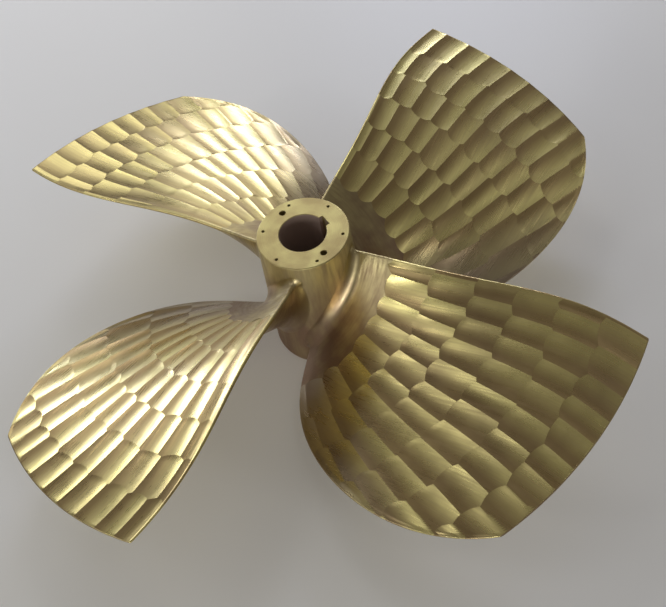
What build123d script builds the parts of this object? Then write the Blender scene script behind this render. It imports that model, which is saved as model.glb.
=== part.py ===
"""Boat propeller: a four-bladed right-handed bronze casting with square-tipped (Kaplan) blades.

Millimetres.  +Z runs along the shaft and points aft.  The origin is the centre of the hub's
forward face, which the propeller stands on.  +X passes through the keyway and through the
middle of blade 1, and the blades are numbered counter-clockwise as seen from aft.
"""
from build123d import *
from math import atan2, cos, pi, sin, sqrt
import os

import numpy as np

# ---- driving dimensions: the whole propeller ----
diameter = 1000.0
blade_count = 4

# ---- driving dimensions: hub ----
forward_collar = 62.5              # bare barrel forward of the blades' leading root corners
aft_collar = 22.0                  # bare barrel aft of their trailing root corners
hub_aft_diameter = 136.0
hub_forward_diameter = 153.0
hub_forward_edge_radius = 16.0
hub_aft_edge_radius = 1.5

# ---- driving dimensions: bore and keyway, for a 70 mm shaft with a 20 x 12 key ----
bore_diameter = 70.0
bore_chamfer = 1.0
keyway_width = 20.0
keyway_depth = 4.9                 # past the wall of the bore, at the middle of the keyway

# ---- driving dimensions: holes in the aft face ----
puller_hole_diameter = 10.2        # tapping size of M12
puller_hole_depth = 32.0
puller_circle_diameter = 102.5
puller_hole_angle = 95.0           # from the keyway
cap_hole_diameter = 5.0            # tapping size of M6
cap_hole_depth = 16.0
cap_circle_diameter = 118.0
cap_hole_count = 6
cap_hole_angle = 19.5              # from the keyway

# ---- driving dimensions: blades ----
root_fillet_radius = 24.0          # between a blade's faces and the hub
edge_fillet_radius = 9.0           # where the leading and trailing edges meet the hub
root_edge_thickness = 7.0          # of the leading and trailing edges
tip_edge_thickness = 3.4

# Blade offsets, as fractions of the tip radius.  Edges are measured along the pitch line from
# the blade's middle radius; the rake is how far that radius line stands aft of the reference
# plane; the pitch is the advance in one turn; the thickness is the greatest in the section.
#   radius  leading  trailing   pitch    rake   thickness
blade_offsets = [
    (0.15,   0.186,    0.188,   1.212,  -0.013,   0.084),
    (0.20,   0.225,    0.210,   1.306,  -0.011,   0.080),
    (0.30,   0.288,    0.252,   1.424,  -0.005,   0.070),
    (0.40,   0.327,    0.300,   1.476,   0.002,   0.060),
    (0.50,   0.344,    0.356,   1.484,   0.003,   0.049),
    (0.60,   0.341,    0.415,   1.472,   0.005,   0.038),
    (0.70,   0.319,    0.474,   1.456,   0.006,   0.028),
    (0.80,   0.275,    0.527,   1.454,   0.007,   0.020),
    (0.90,   0.195,    0.568,   1.476,   0.004,   0.014),
    (0.95,   0.133,    0.583,   1.502,   0.001,   0.012),
    (1.00,   0.054,    0.597,   1.540,  -0.002,   0.011),
]
fairing_degree = 6                 # of the curves that fair the offsets from root to tip

# ---- worked out from the values above ----
tip_radius = diameter / 2
blade_spacing = 360.0 / blade_count
table = np.array(blade_offsets)
fair_leading, fair_trailing, fair_pitch, fair_rake, fair_thickness = [
    np.polynomial.Polynomial.fit(table[:, 0], table[:, column], fairing_degree)
    for column in range(1, 6)
]

# The hub is as long as the blades' roots need, to the nearest millimetre.
root_share, root_leading, root_trailing, root_pitch = table[0, :4]
root_pitch_angle = atan2(root_pitch, 2 * pi * root_share)
blade_plane_height = round(forward_collar + root_leading * tip_radius * sin(root_pitch_angle))
root_aft_reach = root_trailing * tip_radius * sin(root_pitch_angle)
hub_length = round(blade_plane_height + root_aft_reach + aft_collar)

# ---- how finely the blades are lofted ----
points_per_face = 13
span_steps = 18                    # sections between the top of the root fillet and the tip
fillet_steps = 4
trim_margin = 1.0                  # keeps a section off the surface that trims it
anchor_share = 0.92                # of the barrel's radius: the full-size section inside it
seed_radius_share = 0.55           # of the barrel's radius: the small section the loft grows from
seed_plane_share = 0.35
seed_chord_share = 0.5


def hub_radius(height):
    """Radius of the hub's tapered barrel at a height above its forward face."""
    forward_share = 1 - height / hub_length
    return (hub_aft_diameter + (hub_forward_diameter - hub_aft_diameter) * forward_share) / 2


def corner_offset(height, radius):
    """How far a fillet stands out from a wall, at a height above the floor it runs into."""
    if height >= radius:
        return 0.0
    return radius - sqrt(radius**2 - (radius - max(height, 0.0)) ** 2)


def section_points(radius, above_hub, taper_share, chord_share=1.0):
    """Four corner-to-corner point lists of one closed blade section, wrapped round the shaft.

    The section lies on a cylinder of the given radius, or, as taper_share goes to 1, on a
    surface parallel to the tapered hub barrel.
    """
    share = max(radius / tip_radius, table[0, 0])
    pitch_angle = atan2(fair_pitch(share) * tip_radius, 2 * pi * radius)
    leading = fair_leading(share) * tip_radius * chord_share
    trailing = fair_trailing(share) * tip_radius * chord_share
    leading += corner_offset(above_hub, edge_fillet_radius)
    trailing += corner_offset(above_hub, edge_fillet_radius)
    thickness = fair_thickness(share) * tip_radius * chord_share
    edge = root_edge_thickness + (tip_edge_thickness - root_edge_thickness) * share
    flare = corner_offset(above_hub, root_fillet_radius)
    middle_height = blade_plane_height + fair_rake(share) * tip_radius

    def wrapped(along, depth):
        """Point at a distance aft along the pitch line and a depth towards the forward side."""
        height = middle_height + along * sin(pitch_angle) - depth * cos(pitch_angle)
        turn = (along * cos(pitch_angle) + depth * sin(pitch_angle)) / radius
        taper = hub_radius(height) - hub_radius(middle_height)
        local_radius = radius + taper * taper_share
        return Vector(local_radius * cos(turn), local_radius * sin(turn), height)

    def bulge(chord_fraction):
        """Share of full thickness on the rounded forward side."""
        return 4 * chord_fraction * (1 - chord_fraction)

    fractions = [step / (points_per_face - 1) for step in range(points_per_face)]
    alongs = [trailing * f - leading * (1 - f) for f in fractions]
    flares = [flare * bulge(f) ** 0.5 for f in fractions]
    aft_face = [wrapped(along, -extra) for along, extra in zip(alongs, flares)]
    forward_face = [
        wrapped(along, edge + (thickness - edge) * bulge(f) + extra)
        for along, f, extra in zip(alongs, fractions, flares)
    ]
    return aft_face, forward_face


def section_wire(aft_face, forward_face):
    """Closed wire: aft face, trailing edge, forward face, leading edge."""
    return Wire(
        [
            Edge.make_spline(aft_face),
            Edge.make_line(aft_face[-1], forward_face[-1]),
            Edge.make_spline(forward_face[::-1]),
            Edge.make_line(forward_face[0], aft_face[0]),
        ]
    )


def flattened(points, direction_angle, distance):
    """The points moved on to an upright plane that faces direction_angle."""
    outward = Vector(cos(direction_angle), sin(direction_angle), 0)
    return [point + outward * (distance - point.dot(outward)) for point in points]


def make_barrel(lowest, highest):
    """The hub's tapered barrel as a plain solid between two heights."""
    with BuildPart() as barrel:
        with BuildSketch(Plane.XZ):
            Polygon(
                (0, lowest),
                (hub_radius(lowest), lowest),
                (hub_radius(highest), highest),
                (0, highest),
                align=None,
            )
        revolve(axis=Axis.Z)
    return barrel.part


def make_hub():
    """Hub with its rounded edges, bore, keyway and the holes in its aft face."""
    barrel = make_barrel(0, hub_length)
    rims = barrel.edges().filter_by(GeomType.CIRCLE).sort_by(Axis.Z)
    barrel = fillet(rims[0], hub_forward_edge_radius)
    rims = barrel.edges().filter_by(GeomType.CIRCLE).sort_by(Axis.Z)
    barrel = fillet(rims[-1], hub_aft_edge_radius)
    bore_radius = bore_diameter / 2
    aft_face = Plane.XY.offset(hub_length)
    bore = Cylinder(bore_radius, hub_length, align=(Align.CENTER, Align.CENTER, Align.MIN))
    keyway = Box(
        bore_radius + keyway_depth,
        keyway_width,
        hub_length,
        align=(Align.MIN, Align.CENTER, Align.MIN),
    )
    mouth = Cone(
        bore_radius,
        bore_radius + bore_chamfer,
        bore_chamfer,
        align=(Align.CENTER, Align.CENTER, Align.MAX),
    )
    hub = barrel - bore - keyway
    hub -= aft_face * mouth
    hub -= Plane.XY * Rot(X=180) * mouth
    for step in range(2):
        spot = PolarLocations(puller_circle_diameter / 2, 1, puller_hole_angle + 180 * step)
        drill = Cylinder(
            puller_hole_diameter / 2,
            puller_hole_depth,
            align=(Align.CENTER, Align.CENTER, Align.MAX),
        )
        hub -= aft_face * spot.locations[0] * drill
    for step in range(cap_hole_count):
        angle = cap_hole_angle + 360 / cap_hole_count * step
        spot = PolarLocations(cap_circle_diameter / 2, 1, angle)
        drill = Cylinder(
            cap_hole_diameter / 2,
            cap_hole_depth,
            align=(Align.CENTER, Align.CENTER, Align.MAX),
        )
        hub -= aft_face * spot.locations[0] * drill
    return hub


def make_blade():
    """Blade 1: lofted from inside the hub to past the tip, then trimmed to both."""
    root_radius = hub_radius(blade_plane_height)
    wires = []

    # Inside the hub: from a small flat section out to one well under the barrel.
    seed_radius = root_radius * seed_radius_share
    seed_plane = root_radius * seed_plane_share
    aft_face, forward_face = section_points(seed_radius, 0.0, 0.0, seed_chord_share)
    wires.append(
        section_wire(flattened(aft_face, 0, seed_plane), flattened(forward_face, 0, seed_plane))
    )
    wires.append(section_wire(*section_points(root_radius * anchor_share, 0.0, 1.0)))

    # The root fillet, in equal turns of its arc, from just under the barrel.
    for step in range(fillet_steps + 1):
        arc_angle = step / fillet_steps * pi / 2
        height = root_fillet_radius * (1 - cos(arc_angle)) - trim_margin * (step == 0)
        wires.append(section_wire(*section_points(root_radius + height, height, 1.0)))

    # Out to half a step past the tip; the sections turn from the barrel's taper to true
    # cylinders over the first third of the span.
    first_radius = root_radius + root_fillet_radius
    step_length = (tip_radius - first_radius) / (span_steps - 0.5)
    for step in range(1, span_steps + 1):
        radius = first_radius + step_length * step
        taper_share = max(0.0, 1 - 3 * step / span_steps)
        aft_face, forward_face = section_points(radius, root_fillet_radius, taper_share)
        wires.append(section_wire(aft_face, forward_face))
    middle = (aft_face[0] + aft_face[-1]) * 0.5
    tip_direction = atan2(middle.Y, middle.X)
    end_plane = tip_radius + 2 * step_length
    wires.append(
        section_wire(
            flattened(aft_face, tip_direction, end_plane),
            flattened(forward_face, tip_direction, end_plane),
        )
    )
    blank = Solid.make_loft(wires, ruled=True)
    disc = Cylinder(
        tip_radius, 3 * hub_length, align=(Align.CENTER, Align.CENTER, Align.CENTER)
    )
    return (blank & disc) - make_barrel(-hub_length, 2 * hub_length)


os.makedirs("parts", exist_ok=True)

export_step(make_hub(), "parts/hub.step")

first_blade = make_blade()
for number in range(blade_count):
    blade = Rot(Z=blade_spacing * number) * first_blade
    export_step(blade, f"parts/blade_{number + 1}.step")
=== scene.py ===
"""Looks of a four-bladed bronze boat propeller, in metres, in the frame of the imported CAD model.

The blades are ground all over in rows of shallow scallops, with smooth root fillets.  The hub has
a turned aft face and a hand-ground barrel.
"""
import math
import random

import bmesh
import bpy
import numpy as np
from mathutils import Matrix, Vector


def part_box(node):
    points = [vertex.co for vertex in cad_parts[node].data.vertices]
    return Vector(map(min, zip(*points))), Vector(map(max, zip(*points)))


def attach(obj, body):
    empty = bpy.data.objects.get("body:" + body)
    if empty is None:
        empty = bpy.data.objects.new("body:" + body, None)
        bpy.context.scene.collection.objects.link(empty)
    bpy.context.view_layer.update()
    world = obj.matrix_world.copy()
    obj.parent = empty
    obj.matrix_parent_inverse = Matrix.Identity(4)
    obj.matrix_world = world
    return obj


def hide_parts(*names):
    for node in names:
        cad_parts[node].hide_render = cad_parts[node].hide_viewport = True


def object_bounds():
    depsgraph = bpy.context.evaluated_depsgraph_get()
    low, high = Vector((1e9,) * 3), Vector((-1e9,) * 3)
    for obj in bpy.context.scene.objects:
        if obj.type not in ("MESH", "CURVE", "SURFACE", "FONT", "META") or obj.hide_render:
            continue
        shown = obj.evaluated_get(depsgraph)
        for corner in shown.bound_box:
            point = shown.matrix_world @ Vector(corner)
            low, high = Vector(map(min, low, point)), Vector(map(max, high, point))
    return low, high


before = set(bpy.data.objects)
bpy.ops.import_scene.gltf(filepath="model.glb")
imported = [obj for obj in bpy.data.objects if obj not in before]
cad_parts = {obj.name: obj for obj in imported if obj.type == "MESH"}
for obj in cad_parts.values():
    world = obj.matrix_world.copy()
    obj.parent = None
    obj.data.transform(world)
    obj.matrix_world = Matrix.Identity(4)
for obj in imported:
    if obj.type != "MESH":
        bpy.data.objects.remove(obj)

cad_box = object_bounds()
MM = 0.001

# ---- sizes read from the frame ----
tip_radius = cad_box[1].x
hub_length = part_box("hub")[1].z
blade_count = 4

# ---- hub sizes ----
hub_aft_radius = 68 * MM
hub_forward_radius = 76.5 * MM
bore_radius = 35 * MM
keyway_depth = 4.9 * MM           # past the wall of the bore

# ---- blade sizes ----
blade_plane_height = 136 * MM
face_fillet_radius = 20 * MM
edge_fillet_radius = 10 * MM
root_edge_thickness = 7.0 * MM
tip_edge_thickness = 3.4 * MM
sunk_root = 1.5 * MM              # how far a blade's root runs on under the hub's barrel

# Blade offsets as fractions of the tip radius: the edges' distances along the pitch line from the
# blade's middle radius, the advance in one turn, the rake and the greatest thickness.
#   radius  leading  trailing   pitch    rake   thickness
blade_offsets = np.array([
    (0.15,   0.186,    0.188,   1.212,  -0.013,   0.084),
    (0.20,   0.225,    0.210,   1.306,  -0.011,   0.080),
    (0.30,   0.288,    0.252,   1.424,  -0.005,   0.070),
    (0.40,   0.327,    0.300,   1.476,   0.002,   0.060),
    (0.50,   0.344,    0.356,   1.484,   0.003,   0.049),
    (0.60,   0.341,    0.415,   1.472,   0.005,   0.038),
    (0.70,   0.319,    0.474,   1.456,   0.006,   0.028),
    (0.80,   0.275,    0.527,   1.454,   0.007,   0.020),
    (0.90,   0.195,    0.568,   1.476,   0.004,   0.014),
    (0.95,   0.133,    0.583,   1.502,   0.001,   0.012),
    (1.00,   0.054,    0.597,   1.540,  -0.002,   0.011),
])
fairing_degree = 6
fair_leading, fair_trailing, fair_pitch, fair_rake, fair_thickness = [
    np.polynomial.Polynomial.fit(blade_offsets[:, 0], blade_offsets[:, column], fairing_degree)
    for column in range(1, 6)
]

# ---- scallops ground into the blades ----
scallop_rows = 6
scallop_length = 60.5 * MM        # along the blade, root to tip
scallop_width = 39 * MM           # across it, at the tip row
root_scallop_width = 33 * MM
scallop_depth = 1.3 * MM
scooped_end = 7 * MM              # how far a scallop's rounded lower end bulges
uneven_end = 3 * MM               # how far it strays up or down the blade
row_tilt = 0.038                  # the rows climb towards the leading edge
row_stray = 2 * MM                # how far a whole row strays up or down the blade
cut_short = (0.25, 0.95)          # share of the first scallop lost past the trailing edge
width_shares = (0.86, 1.14)       # least and most width, as shares of the row's usual width
depth_shares = (0.8, 1.2)         # least and most depth, as shares of the usual depth
end_shares = (0.45, 1.25)         # least and most bulge of the lower end, in the same way
end_depth_share = 0.75            # of the full depth, left at a scallop's two ends
end_deepening = 0.1               # share of its length over which the lower end deepens
edge_depth_share = 0.35           # of the full depth, left at the blade's edges
edge_depth_reach = 10 * MM        # how far in from the edges the full depth is reached
edge_bulge_reach = 8 * MM         # how far in from the edges the lower ends bulge fully
corner_radii = (0.24, 0.36)       # radii between which the inner leading corner runs out
corner_widths = (50 * MM, 150 * MM)         # the same, as distances from the leading edge
fan_centre = 572 * MM             # radius at which the scallops' sides would run straight out
fan_rate = 3.585                  # how fast they close in below it, per square metre
step_height = 0.15 * MM           # half the height of the step between two rows
relief_shading = 1.35             # how much deeper than their real relief the scallops shade
smoothed_corner = (0.6, 0.85, 0.1, 0.5)     # how far each blade's inner leading corner is rubbed
painted_lit_half = (0.9, 0.4, -0.85, -1.0)    # painted light and shade: which half of each blade's scallops is painted lighter, the other half darker, and how far

# ---- colours of the bronze ----
# The next colour is painted light on one half of each scallop; the one after is painted shade on the
# other half, and also the marbling on the hub's aft face.
painted_lit_bronze = (0.90, 0.80, 0.33, 1)
shade_and_marbling_bronze = (0.50, 0.37, 0.17, 1)
olive_bronze = (0.62, 0.53, 0.27, 1)
warm_bronze = (0.72, 0.56, 0.28, 1)
brown_bronze = (0.31, 0.21, 0.14, 1)
face_bronze = (0.66, 0.58, 0.25, 1)
bore_bronze = (0.38, 0.28, 0.23, 1)
shaded_bronze = (0.40, 0.33, 0.27, 1)

# ---- surface of the bronze ----
blade_wave_depth = 0.4 * MM
barrel_lump_depth = 1.2 * MM
brown_heights = (90 * MM, 220 * MM)         # wholly brown below, olive above
shaded_heights = (70 * MM, 112 * MM)        # painted shade: the scallops' low corners are painted darker and cooler below

# ---- studio ----
camera_place = (-0.3597, -0.9599, 1.3810)
camera_target = (-0.0050, -0.0667, 0.1360)
camera_roll = -12.785             # degrees
camera_lens = 57.72               # focal length in millimetres, on a sensor 36 mm wide
floor_gap = 0.5 * MM              # keeps the floor just clear of the hub's end
light_distance = 3.0
cool_light = (0.84, 0.95, 1.40)

# Soft lights: name, azimuth and elevation in degrees, width and height in metres, brightness.
soft_lights = (
    ("left_window", 48, 26, 1.4, 0.7, 2.2),
    ("left_pane", 50, 29, 1.0, 0.28, 9.0),
    ("back_window", 80, 22, 0.8, 0.6, 1.3),
    ("hub_box", 68, 50, 0.7, 0.6, 2.6),
    ("low_window", 106, 7, 0.8, 0.7, 4.2),
    ("low_pane", 101, 4, 0.35, 0.35, 12.0),
    ("foot_box", 48, 4, 1.6, 0.6, 1.2),
    ("side_box", 158, 30, 0.9, 0.9, 1.4),
    ("high_side_box", 162, 54, 0.9, 0.8, 1.1),
    ("wedge_box", 177, 28, 0.36, 0.36, 11.0),
    ("right_box", 24, 50, 0.8, 0.7, 0.15),
    ("top_box", 2, 66, 0.7, 0.6, 0.45),
    ("back_box", 350, 50, 0.7, 0.7, 0.12),
    ("root_box", 277, 60, 0.35, 0.35, 3.0),
    ("front_strip", 232, 8, 0.7, 0.9, 11.0),
    ("floor_wash", 88, 34, 1.6, 0.9, 2.2),
)

# ---- mesh density ----
aft_columns = 200
forward_columns = 150
edge_columns = 5
fillet_rows = 15
root_rows = 10
band_rows = 17
tip_rows = 4
hub_seam_row = 2                  # mesh row on which a blade meets the hub's barrel
crowding_share = 0.35             # how early the columns crowd up where the blade is narrow
crowding_margin = 8 * MM          # from the leading edge to where they start at the widest place


def hub_radius(height):
    """Radius of the hub's tapered barrel at a height."""
    forward_share = 1 - height / hub_length
    return hub_aft_radius + (hub_forward_radius - hub_aft_radius) * forward_share


def corner_offset(height, radius):
    """How far a fillet of some radius stands out from a wall, at a height above its floor."""
    reach = np.clip(radius - np.maximum(height, 0.0), 0.0, None)
    return np.where(reach > 0, radius - np.sqrt(np.maximum(radius**2 - reach**2, 0)), 0.0)


def smooth_step(low, high, value):
    """0 below low, 1 above high, with a smooth climb between."""
    share = np.clip((value - low) / (high - low), 0, 1)
    return share * share * (3 - 2 * share)


root_radius = hub_radius(blade_plane_height)
tip_round = tip_edge_thickness / 2


def edge_thickness(radius):
    """Thickness of the blade's rounded edges at a radius."""
    return root_edge_thickness + (tip_edge_thickness - root_edge_thickness) * radius / tip_radius


def face_width(radius):
    """Width of a blade's face between its rounded edges, at a radius."""
    fraction = np.maximum(radius / tip_radius, blade_offsets[0, 0])
    chord = (fair_leading(fraction) + fair_trailing(fraction)) * tip_radius
    return chord - edge_thickness(radius)


def spread(radius):
    """How much a blade's width at a radius spreads out when its scallops' sides run parallel."""
    return np.exp(fan_rate * (fan_centre - radius) ** 2)


def spread_width(radius):
    """Width of a blade's face with its scallops' sides laid parallel."""
    return face_width(radius) * spread(radius)


widest = spread_width(np.linspace(0.13, 0.5, 60)).max()


def crowding_place(width):
    """Place at which the mesh's columns start to crowd up, on a section of some spread width."""
    return width - crowding_share * (widest - width) - crowding_margin


class Scallops:
    """Rows of overlapping scallops on one face, each a shallow trough with a rounded lower end.

    Places across a row are measured from the trailing edge, with the scallops' sides laid parallel.
    """

    def __init__(self, seed, row_floors, columns, smoothed):
        draw = random.Random(seed)
        end_draw = random.Random(seed + 500)
        self.row_floors = row_floors
        self.columns = columns
        self.smoothed = smoothed
        self.ridges = []
        self.depths = []
        self.tones = []
        self.end_bulges = []
        self.end_shifts = []
        for row in range(scallop_rows):
            share = row / (scallop_rows - 1)
            middle = row_floors[row] + scallop_length / 2
            width = scallop_width + (root_scallop_width - scallop_width) * share
            width = width * spread(middle)
            ridges = [-draw.uniform(*cut_short) * width]
            while ridges[-1] < widest:
                ridges.append(ridges[-1] + width * draw.uniform(*width_shares))
            self.ridges.append(np.array(ridges))
            self.depths.append(np.array([draw.uniform(*depth_shares) for _ in ridges]))
            self.tones.append(np.array([draw.uniform(0.0, 1.0) for _ in ridges]))
            self.end_bulges.append(np.array([end_draw.uniform(*end_shares) for _ in ridges]))
            self.end_shifts.append(np.array([end_draw.uniform(-1, 1) for _ in ridges]))
        self.stations = [self.snap_columns(row) for row in range(scallop_rows)]

    def free_place(self, column, radius):
        """Place of a mesh column before any is moved onto a ridge.

        The columns follow the scallops' sides, but crowd up before the leading edge.
        """
        place = widest * column / self.columns
        width = spread_width(radius)
        bend = crowding_place(width)
        crowded = bend + (width - bend) * (place - bend) / (widest - bend)
        return np.where(place < bend, place, crowded)

    def snap_columns(self, row):
        """Columns of the mesh that run along the row's ridges, and how far each is moved."""
        floor = self.row_floors[row]
        radii = np.linspace(floor - scooped_end, floor + scallop_length, 9)
        width = spread_width(np.minimum(radii, tip_radius)).min()
        limit = crowding_place(width)
        cell = widest / self.columns
        columns = [0]
        moves = [0.0]
        for ridge in self.ridges[row]:
            if 3 * cell < ridge < limit - 2 * cell:
                columns.append(round(ridge / cell))
                moves.append(ridge - columns[-1] * cell)
        return columns + [columns[-1] + 5], moves + [0.0]

    def place(self, row, column, radius):
        """Place across the row of a column, counted from the trailing edge, at a radius."""
        return self.free_place(column, radius) + np.interp(column, *self.stations[row])

    def phase(self, row, place):
        """Number of the scallop at a place across a row, and how far across it, from -1 to 1."""
        ridges = self.ridges[row]
        number = np.clip(np.searchsorted(ridges, place + 1e-7) - 1, 0, len(ridges) - 2)
        width = ridges[number + 1] - ridges[number]
        return number, np.clip(2 * (place - ridges[number]) / width - 1, -1, 1)

    def floor_radius(self, row, distance, radius):
        """Radius of a row's scooped lower end at a distance from the trailing edge."""
        width = face_width(radius)
        from_edges = np.minimum(distance, width - distance)
        place = distance * spread(radius)
        number, across = self.phase(row, place)
        size = scooped_end * self.end_bulges[row][number]
        bulge = size * (1 - across**2) * smooth_step(0, edge_bulge_reach, from_edges)
        shift = uneven_end * np.interp(place, self.ridges[row], self.end_shifts[row])
        return self.row_floors[row] + row_tilt * distance + shift - bulge

    def bounding_radius(self, row, mesh_row, column, step):
        """Radius at which a column of one row's mesh meets the lower end of the same or next row."""
        radius = np.full(len(column), self.row_floors[row])
        for _ in range(6):
            distance = self.place(mesh_row, column, radius) / spread(radius)
            radius = self.floor_radius(row, distance, radius) + step
        return radius


def lay_out_face(scallops):
    """Radius, share of the chord, depth cut, tone and place across a scallop, over one face.

    Every entry is an array with a row of the mesh in each row.  The columns run from the leading
    to the trailing edge.
    """
    count = scallops.columns
    column = np.arange(count, -1, -1)
    even = 1 - column / count
    blank = np.zeros(count + 1)
    fillet_top = face_fillet_radius
    arc = np.linspace(0, 1, fillet_rows) ** 1.4 * math.pi / 2
    heights = np.concatenate([[-2 * sunk_root, -sunk_root], fillet_top * (1 - np.cos(arc))])
    layout = []
    for height in heights:
        layout.append((blank + root_radius + height, even, blank, blank + 0.5, blank, blank))

    lowest = scallop_rows - 1
    low = scallops.bounding_radius(lowest, lowest, column, -step_height)
    low_distance = scallops.place(lowest, column, low) / spread(low)
    low_share = 1 - low_distance / face_width(low)
    for part in np.linspace(0, 1, root_rows + 1)[1:]:
        radius = root_radius + fillet_top + (low - root_radius - fillet_top) * part
        share = even + (low_share - even) * part
        layout.append((radius, share, blank, blank + 0.5, blank, blank))

    for row in reversed(range(scallop_rows)):
        low = scallops.bounding_radius(row, row, column, step_height)
        high = blank + tip_radius - tip_round
        if row > 0:
            high = scallops.bounding_radius(row - 1, row, column, -step_height)
        for part in np.linspace(0, 1, band_rows + 1):
            radius = low + (high - low) * part
            place = scallops.place(row, column, radius)
            distance = place / spread(radius)
            number, across = scallops.phase(row, place)
            scoop = end_depth_share
            scoop = scoop + (1 - end_depth_share) * (smooth_step(0, end_deepening, part) - part)
            cut = scallop_depth * scallops.depths[row][number] * (1 - across**2) * scoop
            from_leading = face_width(radius) - distance
            from_edge = np.minimum(distance, from_leading)
            keep = smooth_step(0, edge_depth_reach, from_edge)
            keep = edge_depth_share + (1 - edge_depth_share) * keep
            corner = 1 - smooth_step(*corner_radii, radius)
            corner = corner * (1 - smooth_step(*corner_widths, from_leading))
            keep = keep * (1 - scallops.smoothed * corner)
            tone = scallops.tones[row][number]
            share = np.clip(1 - distance / face_width(radius), 0, 1)
            layout.append((radius, share, cut * keep, tone, across, blank + row + 1))
    last = layout[-1]
    for turn in np.linspace(0, math.pi / 2, tip_rows + 1)[1:]:
        radius = blank + tip_radius - tip_round + tip_round * math.sin(turn)
        layout.append((radius, last[1], last[2] * math.cos(turn), last[3], last[4], blank))
    return [np.array(values) for values in zip(*layout)]


def wrap_face_pair(aft, forward):
    """Joins values of the aft and forward face into one band round the section.

    The band starts at the middle of the leading edge, runs over the aft face to the trailing edge
    and comes back over the forward face.
    """
    lead = [aft[:, :1]] * edge_columns
    trail = [aft[:, -1:]] * edge_columns + [forward[:, -1:]] * (edge_columns - 1)
    back = [forward[:, :1]] * edge_columns
    return np.concatenate(lead + [aft] + trail + [forward[:, ::-1]] + back, axis=1)


def blade_points(share, radius, cut, side, edge_turn, open_share):
    """Points of blade 1 from the places on its sections."""
    above = radius - root_radius
    fraction = np.maximum(radius / tip_radius, blade_offsets[0, 0])
    pitch_angle = np.arctan2(fair_pitch(fraction) * tip_radius, 2 * math.pi * radius)
    leading = fair_leading(fraction) * tip_radius
    trailing = fair_trailing(fraction) * tip_radius
    thickness = fair_thickness(fraction) * tip_radius
    edge = edge_thickness(radius)
    tip_inset = tip_round * (1 - open_share) * (above > face_fillet_radius)

    bulge = 4 * share * (1 - share)
    fillet_radius = edge_fillet_radius + (face_fillet_radius - edge_fillet_radius) * bulge**0.5
    flare = corner_offset(above, fillet_radius)
    reach = edge / 2 + corner_offset(above, edge_fillet_radius)

    start = -leading + edge / 2 + tip_inset
    stop = trailing - edge / 2 - tip_inset
    end_sign = np.where(share > 0.5, 1.0, -1.0)
    along = start + (stop - start) * share + reach * np.sin(edge_turn) * end_sign * open_share
    section = edge + (thickness - edge) * bulge
    swell = np.where(edge_turn == 0, section / 2 + flare, reach * np.cos(edge_turn))
    depth = section / 2 + side * (swell - cut) * open_share

    turn = (along * np.cos(pitch_angle) + depth * np.sin(pitch_angle)) / radius
    rake = blade_plane_height + fair_rake(fraction) * tip_radius
    height = rake + along * np.sin(pitch_angle) - depth * np.cos(pitch_angle)
    taper_share = np.clip(1 - 3 * above / (tip_radius - hub_aft_radius), 0, 1)
    local_radius = radius + (hub_radius(height) - root_radius) * taper_share
    return local_radius * np.cos(turn), local_radius * np.sin(turn), height


def grid_normals(points):
    """Outward normals of a grid of points that is wrapped round a blade."""
    along_rows = np.gradient(points, axis=0)
    around = np.roll(points, -1, axis=1) - np.roll(points, 1, axis=1)
    around[:, 0] = points[:, 1] - points[:, -2]
    around[:, -1] = around[:, 0]
    normals = np.cross(along_rows, around)
    return normals / np.maximum(np.linalg.norm(normals, axis=-1, keepdims=True), 1e-12)


def turn_about_shaft(points, angle):
    """Points turned about the shaft."""
    x, y, z = points
    return np.stack([
        x * math.cos(angle) - y * math.sin(angle), x * math.sin(angle) + y * math.cos(angle), z,
    ], axis=-1)


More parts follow.
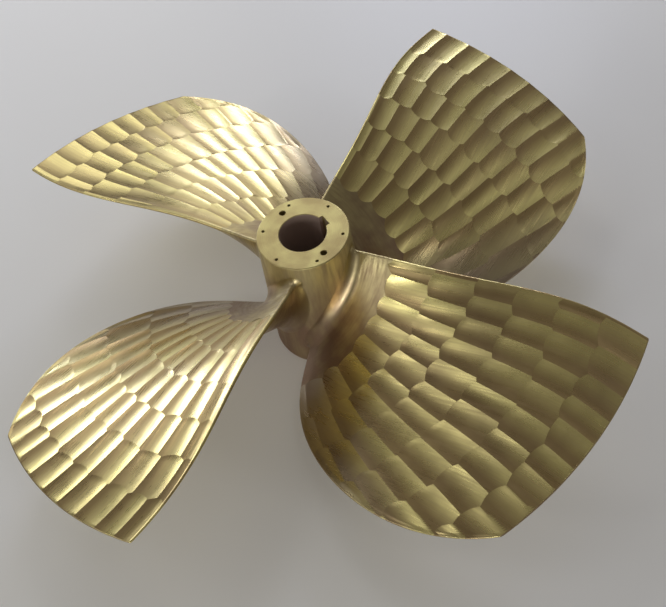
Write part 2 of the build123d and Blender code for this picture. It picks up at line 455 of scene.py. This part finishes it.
def make_blade(number):
    """One blade as a closed mesh, from a grid wrapped round its sections."""
    draw = random.Random(50 + number)
    row_floors = [
        tip_radius - scallop_length * (row + 1) + draw.uniform(-1, 1) * row_stray
        for row in range(scallop_rows)
    ]
    smoothed = smoothed_corner[number]
    aft_scallops = Scallops(100 + number, row_floors, aft_columns, smoothed)
    forward_scallops = Scallops(200 + number, row_floors, forward_columns, smoothed)
    aft = lay_out_face(aft_scallops)
    forward = lay_out_face(forward_scallops)
    radius, share, cut, tone, across, band = [
        wrap_face_pair(one, other) for one, other in zip(aft, forward)
    ]
    quarter = np.linspace(0, math.pi / 2, edge_columns + 1)
    # How far each column has turned round a rounded edge, from 0 on a face to a quarter turn.
    edge_turn = np.concatenate([
        quarter[:0:-1], np.zeros(aft_columns + 1), quarter[1:], quarter[-2:0:-1],
        np.zeros(forward_columns + 1), quarter[1:],
    ])
    side = np.ones(len(edge_turn))
    side[:aft_columns + 1 + 2 * edge_columns] = -1
    rows, columns = radius.shape
    cut = np.where(edge_turn == 0, cut, 0.0)
    # The section closes up at the root end and over the rounded tip.
    open_share = np.ones((rows, 1))
    open_share[0] = 0
    open_share[-tip_rows:, 0] = np.cos(np.linspace(0, math.pi / 2, tip_rows + 1)[1:])
    spin = 2 * math.pi * number / blade_count
    places = (share, radius, cut, side, edge_turn, open_share)
    turned = turn_about_shaft(blade_points(*places), spin)
    places = (share, radius, 0 * cut, side, edge_turn, open_share)
    unground = turn_about_shaft(blade_points(*places), spin)
    smooth_normals = grid_normals(unground)
    place = (1 - share) * face_width(radius)

    mesh = bmesh.new()
    bmesh.ops.create_grid(mesh, x_segments=columns - 1, y_segments=rows - 1, size=0.5)
    flat = np.array([vertex.co[:2] for vertex in mesh.verts])
    column_of = np.rint((flat[:, 0] + 0.5) * (columns - 1)).astype(int)
    row_of = np.rint((flat[:, 1] + 0.5) * (rows - 1)).astype(int)
    for vertex, row, column in zip(mesh.verts, row_of, column_of):
        vertex.co = turned[row, column]

    mark_sharp_edges(mesh, row_of, column_of, band, aft_scallops, forward_scallops)
    sheet = {"place": place, "radius": radius, "tone": tone, "across": across, "band": band}
    mark_corners(mesh, row_of, column_of, sheet, smooth_normals, painted_lit_half[number])
    bmesh.ops.remove_doubles(mesh, verts=mesh.verts, dist=1e-7)
    bmesh.ops.recalc_face_normals(mesh, faces=mesh.faces)
    blade = finish_piece(mesh, f"ground_blade_{number + 1}", f"blade_{number + 1}")
    settle_normals(blade.data)
    return blade


def mark_sharp_edges(mesh, row_of, column_of, band, aft_scallops, forward_scallops):
    """Sharpens the ridges between scallops, the steps between rows and the joint with the hub."""
    rows = len(band)
    first_aft = edge_columns
    first_forward = 3 * edge_columns + aft_columns
    ridge_columns = []
    for row in range(scallop_rows):
        aft_ridges = aft_scallops.stations[row][0][1:-1]
        forward_ridges = forward_scallops.stations[row][0][1:-1]
        aft_ridges = [first_aft + aft_columns - column for column in aft_ridges]
        forward_ridges = [first_forward + column for column in forward_ridges]
        ridge_columns.append(set(aft_ridges + forward_ridges))
    band_of_row = band[:, first_aft].astype(int)
    for edge in mesh.edges:
        one, other = edge.verts
        row, other_row = sorted((row_of[one.index], row_of[other.index]))
        column = column_of[one.index]
        if row == other_row:
            changes = [0, 0]
            if 0 < row < rows - tip_rows - 1:
                changes = np.diff(band_of_row[row - 1:row + 2])
            edge.smooth = not (np.any(changes) or row == hub_seam_row)
        elif band_of_row[row] > 0 and band_of_row[row] == band_of_row[other_row]:
            edge.smooth = column not in ridge_columns[band_of_row[row] - 1]


def mark_corners(mesh, row_of, column_of, sheet, smooth_normals, lit_half_weight):
    """Stores flow coordinates and scallop marks on the mesh, corner by corner; the place across each
    scallop is signed and scaled towards the half that is painted with light.
    """
    band_of_row = sheet["band"][:, edge_columns].astype(int)
    across = sheet["across"]
    flow = mesh.loops.layers.uv.new("flow")
    tone_layer = mesh.loops.layers.float.new("tone")
    across_layer = mesh.loops.layers.float.new("across")
    ground_layer = mesh.loops.layers.float.new("ground")
    normal_layer = mesh.loops.layers.float_vector.new("unground_normal")
    step_layer = mesh.loops.layers.float.new("step")
    for face in mesh.faces:
        face.smooth = True
        corner_columns = [column_of[loop.vert.index] for loop in face.loops]
        face_rows = [row_of[loop.vert.index] for loop in face.loops]
        low_column, high_column = min(corner_columns), max(corner_columns)
        inner_row = min(face_rows)
        on_step = float(band_of_row[inner_row] != band_of_row[max(face_rows)])
        owner = low_column
        if abs(across[inner_row, low_column]) > abs(across[inner_row, high_column]):
            owner = high_column
        face_tone = sheet["tone"][inner_row, owner]
        near = across[inner_row, owner]
        ground = 1.0 if band_of_row[inner_row] > 0 else 0.0
        for loop in face.loops:
            row = row_of[loop.vert.index]
            column = column_of[loop.vert.index]
            value = across[row, column]
            if abs(value - near) > 1:
                value = -value
            loop[flow].uv = (sheet["place"][row, column] + face_tone, sheet["radius"][row, column])
            loop[tone_layer] = face_tone
            # painted light and shade: the signed place across lets the material paint one half of
            # each scallop lighter and the other half darker
            loop[across_layer] = value * lit_half_weight
            loop[ground_layer] = ground
            loop[normal_layer] = smooth_normals[row, column]
            loop[step_layer] = on_step


def settle_normals(data):
    """Shades the steps between rows as part of the blade, and the scallops a little deeper."""
    count = len(data.loops)
    shaded = np.empty(count * 3, np.float32)
    data.corner_normals.foreach_get("vector", shaded)
    shaded = shaded.reshape(-1, 3)
    calm = np.empty(count * 3, np.float32)
    data.attributes["unground_normal"].data.foreach_get("vector", calm)
    calm = calm.reshape(-1, 3)
    on_step = np.empty(count, np.float32)
    data.attributes["step"].data.foreach_get("value", on_step)
    ground = np.empty(count, np.float32)
    data.attributes["ground"].data.foreach_get("value", ground)
    deeper = calm + (shaded - calm) * relief_shading
    chosen = np.where((on_step > 0.5)[:, None], calm, deeper)
    chosen = np.where(((on_step + ground) > 0.5)[:, None], chosen, shaded)
    chosen /= np.maximum(np.linalg.norm(chosen, axis=1, keepdims=True), 1e-9)
    data.normals_split_custom_set(chosen)
    data.attributes.remove(data.attributes["unground_normal"])
    data.attributes.remove(data.attributes["step"])


def finish_piece(mesh, name, node):
    """Makes an object of a bmesh, riding on the root body in place of a CAD node."""
    data = bpy.data.meshes.new(name)
    mesh.to_mesh(data)
    mesh.free()
    piece = bpy.data.objects.new(name, data)
    bpy.context.scene.collection.objects.link(piece)
    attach(piece, "root")
    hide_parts(node)
    return piece


def link(tree, source, target):
    """Joins an output socket to an input socket."""
    tree.links.new(source, target)


def add_node(tree, kind, **settings):
    """A shader node with its settings."""
    node = tree.nodes.new(kind)
    for name, value in settings.items():
        setattr(node, name, value)
    return node


def math_node(tree, operation, first, second):
    """Result of a sum on two sockets or numbers."""
    node = add_node(tree, "ShaderNodeMath", operation=operation)
    for socket, value in zip(node.inputs, (first, second)):
        if isinstance(value, (int, float)):
            socket.default_value = value
        else:
            link(tree, value, socket)
    return node.outputs[0]


def colour_mix(tree, share, first, second):
    """Colour between two colours or colour sockets, by a share."""
    node = add_node(tree, "ShaderNodeMix", data_type="RGBA")
    for socket, value in zip((node.inputs[0], node.inputs[6], node.inputs[7]),
                             (share, first, second)):
        if isinstance(value, (tuple, int, float)):
            socket.default_value = value
        else:
            link(tree, value, socket)
    return node.outputs[2]


def number_mix(tree, share, first, second):
    """Number between two number sockets, by a share."""
    node = add_node(tree, "ShaderNodeMix")
    for socket, value in zip(node.inputs[:1] + node.inputs[2:4], (share, first, second)):
        link(tree, value, socket)
    return node.outputs[0]


def stretched_noise(tree, coordinates, scale, detail, stretch=(1, 1, 1)):
    """Noise along some coordinates, stretched, as a number about one half."""
    mapping = add_node(tree, "ShaderNodeMapping")
    mapping.inputs["Scale"].default_value = stretch
    link(tree, coordinates, mapping.inputs["Vector"])
    noise = add_node(tree, "ShaderNodeTexNoise")
    noise.inputs["Scale"].default_value = scale
    noise.inputs["Detail"].default_value = detail
    link(tree, mapping.outputs[0], noise.inputs["Vector"])
    return noise.outputs["Fac"]


def attribute(tree, name):
    """A number stored on the mesh."""
    return add_node(tree, "ShaderNodeAttribute", attribute_name=name).outputs["Fac"]


def ranged(tree, value, low, high, new_low, new_high):
    """A number moved from one range to another, held at the ends."""
    node = add_node(tree, "ShaderNodeMapRange")
    for socket, number in zip(node.inputs[1:5], (low, high, new_low, new_high)):
        socket.default_value = number
    link(tree, value, node.inputs[0])
    return node.outputs[0]


def cast_bronze(tree, place, streaks):
    """Colour, roughness and surface height of the hand-ground bronze round the hub.

    It turns browner towards the forward end.
    """
    parts = add_node(tree, "ShaderNodeSeparateXYZ")
    link(tree, place, parts.inputs[0])
    lumps = stretched_noise(tree, place, 1.0, 2.0, (46, 46, 17))
    brown = ranged(tree, parts.outputs["Z"], *brown_heights, 1.00, 0.05)
    brown = math_node(tree, "ADD", brown, ranged(tree, lumps, 0.3, 0.7, -0.25, 0.25))
    colour = colour_mix(tree, brown, olive_bronze, brown_bronze)
    colour = colour_mix(tree, ranged(tree, streaks, 0.42, 0.68, 0, 0.35), colour, brown_bronze)
    rough = ranged(tree, streaks, 0.3, 0.7, 0.30, 0.46)
    height = math_node(tree, "ADD", math_node(tree, "MULTIPLY", streaks, 0.25), lumps)
    return colour, rough, height


def make_blade_bronze():
    """Ground bronze with fine streaks along the scallops, browner at the root: one half of each
    scallop is painted lighter as painted light and the other half darker as painted shade, and the
    low scallops get painted shade.
    """
    material = bpy.data.materials.new("blade_bronze")
    material.use_nodes = True
    tree = material.node_tree
    shader = tree.nodes["Principled BSDF"]
    shader.inputs["Metallic"].default_value = 1.0
    flow = add_node(tree, "ShaderNodeUVMap", uv_map="flow").outputs[0]
    place = add_node(tree, "ShaderNodeTexCoord").outputs["Object"]
    tone = attribute(tree, "tone")
    across = attribute(tree, "across")
    ground = attribute(tree, "ground")
    streaks = stretched_noise(tree, flow, 1.0, 2.0, (260, 7, 1))
    waves = stretched_noise(tree, flow, 1.0, 2.0, (60, 24, 1))
    patches = stretched_noise(tree, place, 9.0, 4.0)
    stains = stretched_noise(tree, place, 26.0, 3.0)
    root_streaks = stretched_noise(tree, flow, 1.0, 3.0, (26, 260, 1))
    root_colour, root_rough = cast_bronze(tree, place, root_streaks)[:2]

    # painted light and shade: one half of each scallop is painted in a bright bronze, the other half
    # in a dark bronze
    painted_light_share = ranged(tree, across, -0.5, 0.5, 0, 1)
    lit_and_shaded_metal = colour_mix(tree, painted_light_share, shade_and_marbling_bronze, painted_lit_bronze)
    tinted = colour_mix(tree, math_node(tree, "MULTIPLY", tone, 0.30), lit_and_shaded_metal, warm_bronze)
    patch_share = ranged(tree, patches, 0.45, 0.75, 0, 0.45)
    patched = colour_mix(tree, patch_share, tinted, brown_bronze)
    streak_share = ranged(tree, streaks, 0.35, 0.7, 0, 0.22)
    streaked = colour_mix(tree, streak_share, patched, brown_bronze)
    parts = add_node(tree, "ShaderNodeSeparateXYZ")
    link(tree, place, parts.inputs[0])
    # painted shade: below these heights the scallops are painted towards a darker, cooler bronze
    low_share = ranged(tree, parts.outputs["Z"], *shaded_heights, 0.85, 0)
    streaked = colour_mix(tree, low_share, streaked, shaded_bronze)
    link(tree, colour_mix(tree, ground, root_colour, streaked), shader.inputs["Base Color"])

    rough = ranged(tree, streaks, 0.3, 0.7, 0.24, 0.33)
    rough = math_node(tree, "ADD", rough, ranged(tree, stains, 0.3, 0.7, -0.02, 0.05))
    link(tree, number_mix(tree, ground, root_rough, rough), shader.inputs["Roughness"])
    bump = add_node(tree, "ShaderNodeBump")
    bump.inputs["Strength"].default_value = 0.5
    bump.inputs["Distance"].default_value = blade_wave_depth
    link(tree, waves, bump.inputs["Height"])
    link(tree, bump.outputs[0], shader.inputs["Normal"])
    return material


def make_hub_bronze():
    """Turned aft face, hand-ground barrel and dark bore."""
    material = bpy.data.materials.new("hub_bronze")
    material.use_nodes = True
    tree = material.node_tree
    shader = tree.nodes["Principled BSDF"]
    shader.inputs["Metallic"].default_value = 1.0
    place = add_node(tree, "ShaderNodeTexCoord").outputs["Object"]
    parts = add_node(tree, "ShaderNodeSeparateXYZ")
    link(tree, place, parts.inputs[0])
    flat = add_node(tree, "ShaderNodeCombineXYZ")
    link(tree, parts.outputs["X"], flat.inputs["X"])
    link(tree, parts.outputs["Y"], flat.inputs["Y"])
    length = add_node(tree, "ShaderNodeVectorMath", operation="LENGTH")
    link(tree, flat.outputs[0], length.inputs[0])
    from_axis = length.outputs["Value"]
    streaks = stretched_noise(tree, place, 1.0, 4.0, (150, 150, 16))
    colour, rough, height = cast_bronze(tree, place, streaks)

    height_up = parts.outputs["Z"]
    on_face = ranged(tree, height_up, hub_length - 1.8 * MM, hub_length - 0.4 * MM, 0, 1)
    keyway_floor = bore_radius + keyway_depth
    in_bore = ranged(tree, from_axis, keyway_floor + 0.7 * MM, keyway_floor - 0.5 * MM, 0, 1)
    not_face = math_node(tree, "SUBTRACT", 1.0, on_face)
    dark = math_node(tree, "MULTIPLY", in_bore, not_face)
    marbling = stretched_noise(tree, place, 30.0, 5.0)
    ring_place = add_node(tree, "ShaderNodeCombineXYZ")
    link(tree, from_axis, ring_place.inputs["X"])
    rings = stretched_noise(tree, ring_place.outputs[0], 900.0, 2.0)
    face = colour_mix(tree, ranged(tree, marbling, 0.40, 0.62, 0.0, 0.6), face_bronze, shade_and_marbling_bronze)
    face = colour_mix(tree, ranged(tree, rings, 0.4, 0.8, 0.0, 0.4), face, brown_bronze)
    colour = colour_mix(tree, on_face, colour, face)
    link(tree, colour_mix(tree, dark, colour, bore_bronze), shader.inputs["Base Color"])
    link(tree, ranged(tree, dark, 0, 1, 1.0, 0.1), shader.inputs["Metallic"])
    face_rough = ranged(tree, marbling, 0.3, 0.7, 0.38, 0.52)
    barrel_rough = math_node(tree, "ADD", rough, 0.22)
    link(tree, number_mix(tree, on_face, barrel_rough, face_rough), shader.inputs["Roughness"])
    bump = add_node(tree, "ShaderNodeBump")
    bump.inputs["Strength"].default_value = 0.5
    bump.inputs["Distance"].default_value = barrel_lump_depth
    link(tree, math_node(tree, "MULTIPLY", height, not_face), bump.inputs["Height"])
    link(tree, bump.outputs[0], shader.inputs["Normal"])
    return material


def make_camera():
    """Camera high over the propeller's side, rolled a little clockwise."""
    camera = bpy.data.objects.new("camera", bpy.data.cameras.new("camera"))
    bpy.context.scene.collection.objects.link(camera)
    camera.location = camera_place
    look = (Vector(camera_target) - camera.location).to_track_quat("-Z", "Y").to_matrix()
    look = look @ Matrix.Rotation(math.radians(camera_roll), 3, "Z")
    camera.rotation_euler = look.to_euler()
    camera.data.sensor_width = 36
    camera.data.lens = camera_lens
    bpy.context.scene.camera = camera


def make_floor():
    """Pale floor that the hub stands on."""
    mesh = bmesh.new()
    bmesh.ops.create_grid(mesh, x_segments=1, y_segments=1, size=6)
    data = bpy.data.meshes.new("floor")
    mesh.to_mesh(data)
    mesh.free()
    floor = bpy.data.objects.new("floor", data)
    floor.location.z = -floor_gap
    bpy.context.scene.collection.objects.link(floor)
    material = bpy.data.materials.new("floor")
    material.use_nodes = True
    shader = material.node_tree.nodes["Principled BSDF"]
    shader.inputs["Base Color"].default_value = (0.85, 0.85, 0.83, 1)
    shader.inputs["Roughness"].default_value = 0.45
    shader.inputs["Emission Color"].default_value = (1.0, 0.98, 0.94, 1)
    shader.inputs["Emission Strength"].default_value = 0.06
    data.materials.append(material)


def soft_light(name, azimuth, elevation, width, height, brightness):
    """Soft box aimed at the hub."""
    data = bpy.data.lights.new(name, "AREA")
    data.shape = "RECTANGLE"
    data.size = width
    data.size_y = height
    data.energy = brightness * math.pi * width * height
    light = bpy.data.objects.new(name, data)
    bpy.context.scene.collection.objects.link(light)
    a, e = math.radians(azimuth), math.radians(elevation)
    away = Vector((math.cos(e) * math.cos(a), math.cos(e) * math.sin(a), math.sin(e)))
    light.location = Vector((0, 0, 0.15)) + away * light_distance
    light.rotation_euler = away.to_track_quat("Z", "Y").to_euler()
    return light


def make_lights():
    """Dim warm surroundings, the soft boxes and a wash that points straight down at the floor."""
    world = bpy.data.worlds.new("studio")
    bpy.context.scene.world = world
    world.use_nodes = True
    background = world.node_tree.nodes["Background"]
    background.inputs["Color"].default_value = (1.0, 0.92, 0.82, 1)
    background.inputs["Strength"].default_value = 0.15
    lights = {name: soft_light(name, *settings) for name, *settings in soft_lights}
    for name in ("left_pane", "low_pane"):
        lights[name].data.color = cool_light
    lights["floor_wash"].rotation_euler = (0, 0, 0)


bpy.context.scene.view_settings.view_transform = "Standard"
make_camera()
make_floor()
make_lights()
blade_bronze = make_blade_bronze()
for number in range(blade_count):
    blade = make_blade(number)
    blade.data.materials.append(blade_bronze)
hub_bronze = make_hub_bronze()
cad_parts["hub"].data.materials.clear()
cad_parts["hub"].data.materials.append(hub_bronze)
